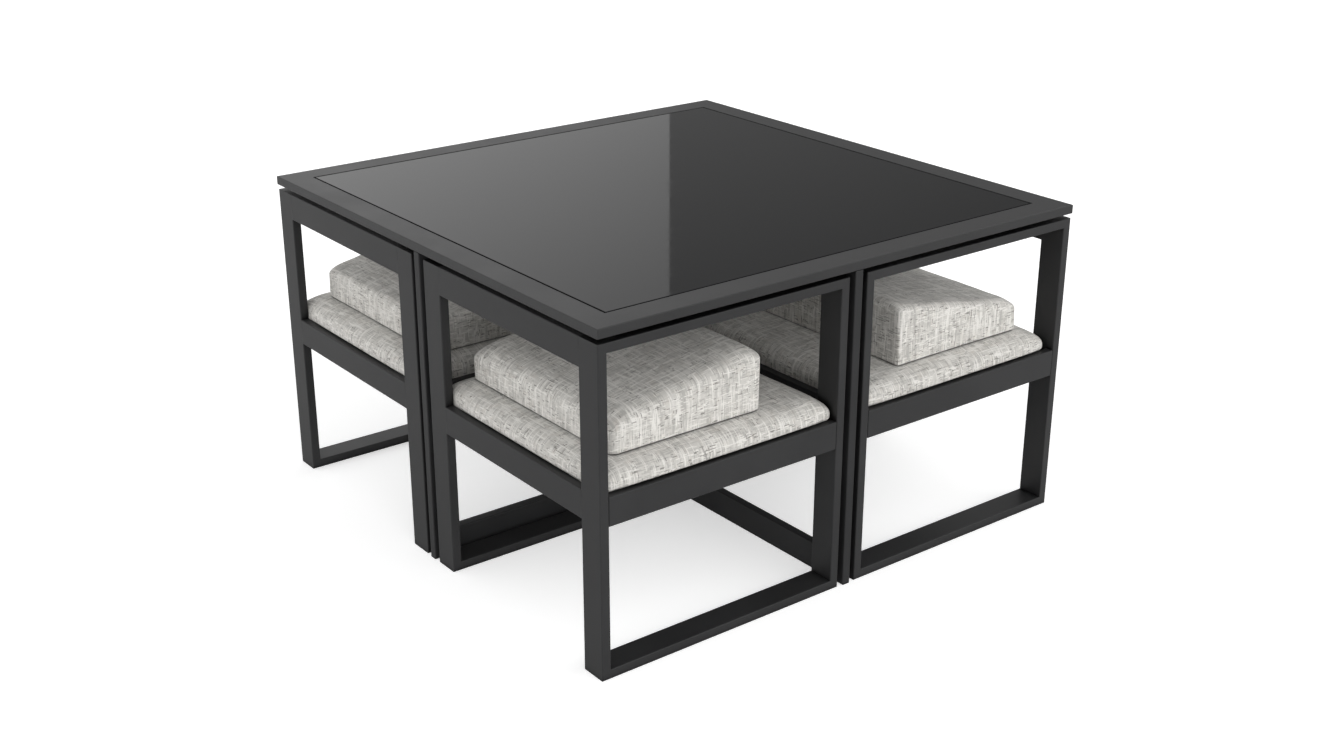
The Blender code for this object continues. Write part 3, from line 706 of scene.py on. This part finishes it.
def edged_steps(half, edge):
    """Places across a face from -half to half, closer together over its rounded edges."""
    inner = half - edge
    middle = np.linspace(-inner, inner, round(2 * inner / CUSHION_STEP) + 1)
    rim = np.linspace(inner, half, EDGE_STEPS + 1)[1:]
    return np.concatenate((-rim[::-1], middle, rim))


def turned_edge(inset, climb, edge):
    """A rounded edge in section, a quarter ellipse of (width, drop).

    A point on the face lies inset from its border, and one on the side has climbed a share of
    the way to it. Gives the new inset, and how far the cover then lies below the face."""
    width, drop = edge
    angle = np.where(climb < 1, climb, 1 + np.clip(inset / width, 0, 1)) * math.pi / 4
    new_inset = np.where(inset < width, width * (1 - np.cos(angle)), inset)
    return new_inset, drop * (1 - np.sin(angle))


def round_corners(share_x, share_y, half_x, half_y, radius):
    """Moves points on a rectangle's outline, in shares of its half sides, to rounded corners."""
    x, y = abs(share_x) * half_x, abs(share_y) * half_y
    past_x, past_y = (x - half_x) / radius + 1, (y - half_y) / radius + 1
    turn = np.where(past_x >= past_y, past_y, 2 - past_x) * math.pi / 4
    corner = np.minimum(past_x, past_y) > 0
    new_x = np.where(corner, half_x - radius + radius * np.cos(turn), x)
    new_y = np.where(corner, half_y - radius + radius * np.sin(turn), y)
    return np.sign(share_x) * new_x / half_x, np.sign(share_y) * new_y / half_y


def ease(share):
    """Smooth rise from 0 to 1."""
    share = np.clip(share, 0, 1)
    return share * share * (3 - 2 * share)


def arch(share, reach_share, power=2):
    """1 in the middle of a side, falling to 0 at its reach towards the corners."""
    return np.maximum(0, 1 - abs(share / reach_share) ** power)


def cushion_block(half_x, half_y, corner, top_edge, foot_edge, side_steps):
    """A box cushion's cover on a grid: shares in plan, inset, and how each point stands.

    Gives the quads and, for each point, its shares (u, v) of the half sides, its inset, its
    place up the side from 0 at the foot's edge to 1 at the top's, and its depth at both."""
    steps_x, steps_y = edged_steps(half_x, top_edge[0]), edged_steps(half_y, top_edge[0])
    last = (len(steps_x) - 1, len(steps_y) - 1, FOOT_STEPS + side_steps + EDGE_STEPS)
    grid, quads = block_skin(last)
    x, y, k = steps_x[grid[:, 0]], steps_y[grid[:, 1]], grid[:, 2]
    inset = np.minimum(half_x - abs(x), half_y - abs(y))
    room_x, room_y = np.maximum(half_x - inset, TINY), np.maximum(half_y - inset, TINY)
    climb = np.clip((k - FOOT_STEPS) / side_steps, 0, 1)
    turning = np.clip((k - last[2]) / EDGE_STEPS + 1, 0, 1)
    foot_corner, side_corner, top_corner = corner
    radius = (side_corner + (foot_corner - side_corner) * (1 - climb) ** 2
              + (top_corner - side_corner) * turning ** 2)
    u, v = round_corners(np.clip(x / room_x, -1, 1), np.clip(y / room_y, -1, 1),
                         half_x, half_y, radius)
    top_inset, top_drop = turned_edge(inset, turning, top_edge)
    foot_inset, foot_rise = turned_edge(inset, np.clip(1 - k / FOOT_STEPS, 0, 1), foot_edge)
    new_inset = np.where(k > FOOT_STEPS, top_inset, foot_inset)
    return quads, u, v, new_inset, climb, top_drop, foot_rise


def softened(points, quads, depth, seed, held):
    """Moves a cover in and out a little, as loose cloth over foam, less where held is less."""
    mesh = bpy.data.meshes.new("cover")
    mesh.from_pydata(points.tolist(), [], quads)
    out = np.empty(len(points) * 3)
    mesh.vertex_normals.foreach_get("vector", out)
    bpy.data.meshes.remove(mesh)
    out = out.reshape(-1, 3)
    moves = np.array([
        noise.noise(Vector(point) * BILLOW_SCALE + Vector((seed, 0, 0)))
        + RIPPLE_SHARE * noise.noise(Vector(point) * RIPPLE_SCALE + Vector((0, seed, 0)))
        for point in points])
    return points + out * (depth * moves * held)[:, None]


def cover(name, points, quads, material):
    """A cushion's mesh as its own piece, smooth and once subdivided."""
    mesh = bpy.data.meshes.new(name)
    mesh.from_pydata(points.tolist(), [], quads)
    mesh.shade_smooth()
    mesh.materials.append(material)
    piece = placed(name, mesh)
    smooth = piece.modifiers.new("smooth", "SUBSURF")
    smooth.levels = smooth.render_levels = 1
    return piece


CHAIR_FRONT = {"near": 1, "left": 1, "right": -1, "far": -1}       # which way along X
SEAT_HALF = 0.2797
SEAT_CORNER = (0.008, 0.008, 0.030)     # radius at the foot, up the side and at the top
SEAT_TOP_EDGE = (0.045, 0.032)          # width in plan, and drop
SEAT_FOOT_EDGE = (0.008, 0.008)
SEAT_SIDE_STEPS = 8
SEAT_END_SPACE = {"near": 0.001, "left": 0, "right": 0.012, "far": 0.002}
SEAT_HELD = 0.0197                      # height of the foot that stands in the seat frame
SEAT_SAG = 0.0012
SEAT_CROWN = 0.045
SEAT_LOOSENESS = 0.0012
BACK_SWELL = 0.007                      # over the back rail
SIDE_SWELL = 0.0115                     # over the outer side rail
SWELL_RISE = 0.003
SWELL_END = 1.6                         # in widths of the top edge
SWELL_POWER = 6                         # higher keeps the swell full nearer to its ends
BACK_SWELL_REACH = 0.85
SIDE_SWELL_REACH = 1.1
LOOSE_RISE = 0.02                       # height over which the cloth comes free of its foot
SEED_STEP = 11.0                        # from chair to chair

# The seats' sides get a fifth of the painted shade of their tops.
seat_tweed = tweed("seat_fabric", lift=1.0, side_crease_shade=0.2)
for number, chair in enumerate(CHAIRS):
    low, high = (Vector(corner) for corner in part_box(chair + "_chair_seat_cushion"))
    middle = (low + high) / 2
    half_x = SEAT_HALF - SEAT_END_SPACE[chair] / 2
    middle.x -= math.copysign(SEAT_END_SPACE[chair] / 2, middle.x)
    quads, u, v, inset, climb, drop, rise = cushion_block(
        half_x, SEAT_HALF, SEAT_CORNER, SEAT_TOP_EDGE, SEAT_FOOT_EDGE, SEAT_SIDE_STEPS)
    crown = ease((inset - SEAT_TOP_EDGE[0]) / SEAT_CROWN)
    top = (high.z - low.z) - SEAT_SAG * (1 - crown) - drop
    z = climb * top + (1 - climb) * rise
    free = ease((z - SEAT_HELD) / SWELL_RISE) * ease(SWELL_END - inset / SEAT_TOP_EDGE[0])
    at_back, at_outside = u * CHAIR_FRONT[chair] <= 0, v * middle.y >= 0
    back_swell = BACK_SWELL * free * at_back * arch(v, BACK_SWELL_REACH, SWELL_POWER)
    side_swell = SIDE_SWELL * free * at_outside * arch(u, SIDE_SWELL_REACH, SWELL_POWER)
    x = u * (half_x - inset + back_swell)
    y = v * (SEAT_HALF - inset + side_swell)
    points = np.stack((x + middle.x, y + middle.y, z + low.z), axis=1)
    points = softened(points, quads, SEAT_LOOSENESS, SEED_STEP * number,
                      ease((z - SEAT_HELD) / LOOSE_RISE))
    seat = cover(chair + "_seat_cover", points, quads, seat_tweed)
    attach(seat, chair + "_chair")
    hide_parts(chair + "_chair_seat_cushion")

# The back cushions: wedges of foam in the same tweed, laid loose on the seats with the thin end
# at the chair's back and the underside flat. The sides draw in a little between the corners, and
# corners and edges differ from chair to chair, as each cushion has been pressed.
BACK_HALF_Y = 0.2445
BACK_THIN = 0.0680
BACK_THICK = 0.1330
BACK_SIDE_STEPS = 6
BACK_LOOSENESS = 0.0016
BACK_SEED = 53.0
BACK_SIDE_CORNER = {"near": 0.014, "left": 0.021, "right": 0.009, "far": 0.009}
BACK_TOP_CORNER = 0.028
BACK_FOOT_CORNER = {"near": 0.016, "left": 0.022, "right": 0.004, "far": 0.008}
BACK_TOP_EDGE = {"near": 0.024, "left": 0.014, "right": 0.018, "far": 0.023}
BACK_TOP_SPREAD = {"near": 1.5, "left": 1.0, "right": 1.15, "far": 1.0}
BACK_FOOT_EDGE = (0.003, 0.004)
BACK_CROWN = 0.0035
BACK_DRAW_IN = 0.0012
BACK_SHOULDER = {"near": 0.002, "left": 0.001, "right": 0.0, "far": 0.001}
BACK_SHOULDER_WIDTH = 0.07
BACK_END_SPACE = {"near": 0.0, "left": 0.0, "right": 0.005, "far": 0.0}
BACK_SIDE_SPACE = {"near": 0.003, "left": 0.006, "right": 0.0, "far": 0.0}

# The backs use the seats' tweed made 4% lighter, as painted light, with painted shade as full on
# the sides as on the top.
back_tweed = tweed("back_fabric", lift=1.04, side_crease_shade=1.0)
for number, chair in enumerate(CHAIRS):
    low, high = (Vector(corner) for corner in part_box(chair + "_chair_back_cushion"))
    middle = (low + high) / 2
    half_x = (high.x - low.x - BACK_END_SPACE[chair]) / 2
    half_y = BACK_HALF_Y - BACK_SIDE_SPACE[chair] / 2
    middle.x -= math.copysign(BACK_END_SPACE[chair] / 2, middle.x)
    middle.y -= BACK_SIDE_SPACE[chair] / 2
    top_edge = BACK_TOP_EDGE[chair]
    quads, u, v, inset, climb, drop, rise = cushion_block(
        half_x, half_y, (BACK_FOOT_CORNER[chair], BACK_SIDE_CORNER[chair], BACK_TOP_CORNER),
        (top_edge * BACK_TOP_SPREAD[chair], top_edge), BACK_FOOT_EDGE, BACK_SIDE_STEPS)
    side = np.where(inset < top_edge, 1 - inset / top_edge, 0)
    x = u * (half_x - inset - BACK_DRAW_IN * side * arch(v, 1))
    y = v * (half_y - inset - BACK_DRAW_IN * side * arch(u, 1))
    slope = (BACK_THICK - BACK_THIN) / (2 * half_x) * CHAIR_FRONT[chair]
    crown = BACK_CROWN * arch(x / half_x, 1) * arch(y / half_y, 1)
    past = ease(1 - (half_y - y * math.copysign(1, middle.y)) / BACK_SHOULDER_WIDTH)
    top = (BACK_THICK + BACK_THIN) / 2 + slope * x + crown - drop - BACK_SHOULDER[chair] * past
    z = climb * top + (1 - climb) * rise
    points = np.stack((x + middle.x, y + middle.y, z + low.z), axis=1)
    points = softened(points, quads, BACK_LOOSENESS, BACK_SEED + SEED_STEP * number,
                      ease(z / LOOSE_RISE))
    back = cover(chair + "_back_cover", points, quads, back_tweed)
    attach(back, chair + "_cushion")
    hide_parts(chair + "_chair_back_cushion")

# The studio: a white floor and white all round, a soft main light from the right front, a weak
# one from the left, and a third without shadow that opens the shade. Two flags behind the set
# are seen by its glossy faces alone: a pale one on the left, and a dark one to the right.
FLOOR_SIZE = 60.0
FLOOR_COLOUR = (0.9, 0.9, 0.9)
FLOOR_LIFT = 0.445                 # own light, seen by the camera alone
FLAG_DISTANCE = 9.0
FLAG_EDGE_PIXEL = 670              # where the two flags meet, across the picture
FLAG_WIDTH = 9.0
FLAG_HEIGHT = 3.35
FLAG_FADE = 2.0                    # width over which a flag's level changes, from its inner edge
FLAGS = (("pale_flag", -1, 0.66, 1.06),        # way (left is -1), inner and outer level
         ("dark_flag", 1, 0.265, 0.185))
FRAME_WIDTH_PIXELS = 1330
HORIZON_LEVEL = 2.03               # light on the set from all round, and from overhead
ZENITH_LEVEL = 0.05
LIGHTS = (("main_light", 189, 24, 0.98, 90),   # azimuth, elevation, strength, spread
          ("fill_light", 110, 40, 0.04, 90),
          ("shade_light", 180, 60, 0.28, 0))


def seen_ray(tree):
    """1 for camera, glossy and transmission rays, 0 for the rays that light the object."""
    path = put(tree, "ShaderNodeLightPath").outputs
    return calc(tree, "MAXIMUM", calc(tree, "MAXIMUM", path["Is Camera Ray"],
                                      path["Is Glossy Ray"]), path["Is Transmission Ray"])


def plain_panel(name, corners, material):
    """A flat piece of the studio."""
    mesh = bpy.data.meshes.new(name)
    mesh.from_pydata(corners, [], [tuple(range(len(corners)))])
    mesh.materials.append(material)
    panel = placed(name, mesh)
    return panel


def floor_white():
    """Matt white. What is seen of it is lifted to pure white, so only the shadow keeps a tone."""
    material, tree, shader = new_material("floor_white")
    shader.inputs["Base Color"].default_value = (*FLOOR_COLOUR, 1)
    shader.inputs["Roughness"].default_value = 1.0
    shader.inputs["Specular IOR Level"].default_value = 0.0
    path = put(tree, "ShaderNodeLightPath").outputs
    lift = calc(tree, "MULTIPLY", path["Is Camera Ray"], FLOOR_LIFT)
    glow = put(tree, "ShaderNodeEmission", {"Color": (1, 1, 1, 1), "Strength": lift})
    total = put(tree, "ShaderNodeAddShader")
    tree.links.new(shader.outputs[0], total.inputs[0])
    tree.links.new(glow.outputs[0], total.inputs[1])
    tree.links.new(total.outputs[0], tree.nodes["Material Output"].inputs["Surface"])
    return material


half = FLOOR_SIZE / 2
plain_panel("floor", [(-half, -half, 0), (half, -half, 0), (half, half, 0), (-half, half, 0)],
            floor_white())


def flag_grey(name, foot, outward, inner_level, outer_level):
    """Plain light that changes from one level at the flag's inner edge to another further out."""
    material, tree, shader = new_material(name)
    place = put(tree, "ShaderNodeTexCoord").outputs["Object"]
    out = put(tree, "ShaderNodeVectorMath", {0: place, 1: outward}, operation="DOT_PRODUCT")
    inner_edge = foot.dot(outward)
    level = put(tree, "ShaderNodeMapRange", {
        "Value": out.outputs["Value"], "From Min": inner_edge, "From Max": inner_edge + FLAG_FADE,
        "To Min": inner_level, "To Max": outer_level,
    })
    glow = put(tree, "ShaderNodeEmission", {"Strength": level.outputs["Result"]})
    tree.links.new(glow.outputs[0], tree.nodes["Material Output"].inputs["Surface"])
    tree.nodes.remove(shader)
    return material


focal_pixels = CAMERA_LENS / SENSOR_WIDTH * FRAME_WIDTH_PIXELS
edge_turn = math.atan((FLAG_EDGE_PIXEL - FRAME_WIDTH_PIXELS / 2) * math.cos(
    math.radians(CAMERA_ELEVATION)) / focal_pixels)
ahead = math.radians(90 + CAMERA_AZIMUTH) - edge_turn
foot = Vector((CAMERA_PLACE[0], CAMERA_PLACE[1], 0)) + FLAG_DISTANCE * Vector(
    (math.cos(ahead), math.sin(ahead), 0))
rightward = Vector((math.sin(ahead), -math.cos(ahead), 0))
up = Vector((0, 0, FLAG_HEIGHT))
for name, way, inner_level, outer_level in FLAGS:
    far_foot = foot + way * FLAG_WIDTH * rightward
    flag = plain_panel(name, [foot, far_foot, far_foot + up, foot + up],
                       flag_grey(name, foot, way * rightward, inner_level, outer_level))
    flag.visible_camera = False
    flag.visible_diffuse = False
    flag.visible_shadow = False
    flag.visible_transmission = False

for name, azimuth, elevation, strength, spread in LIGHTS:
    lamp = bpy.data.lights.new(name, "SUN")
    lamp.use_shadow = spread > 0
    lamp.energy = strength
    lamp.angle = math.radians(spread)
    light = placed(name, lamp)
    light.rotation_euler = (math.radians(90 - elevation), 0, math.radians(azimuth - 180))

world = bpy.data.worlds.new("studio")
bpy.context.scene.world = world
world.use_nodes = True
tree = world.node_tree
sky = tree.nodes["Background"]
aim = put(tree, "ShaderNodeTexCoord").outputs["Generated"]
rise = put(tree, "ShaderNodeSeparateXYZ", {0: aim}).outputs[2]
dome = put(tree, "ShaderNodeMapRange", {
    "Value": rise, "To Min": HORIZON_LEVEL, "To Max": ZENITH_LEVEL})
level = put(tree, "ShaderNodeMapRange", {
    "Value": seen_ray(tree), "To Min": dome.outputs["Result"], "To Max": 1.0})
sky.inputs["Color"].default_value = (1, 1, 1, 1)
tree.links.new(level.outputs["Result"], sky.inputs["Strength"])
bpy.context.scene.view_settings.view_transform = "Standard"
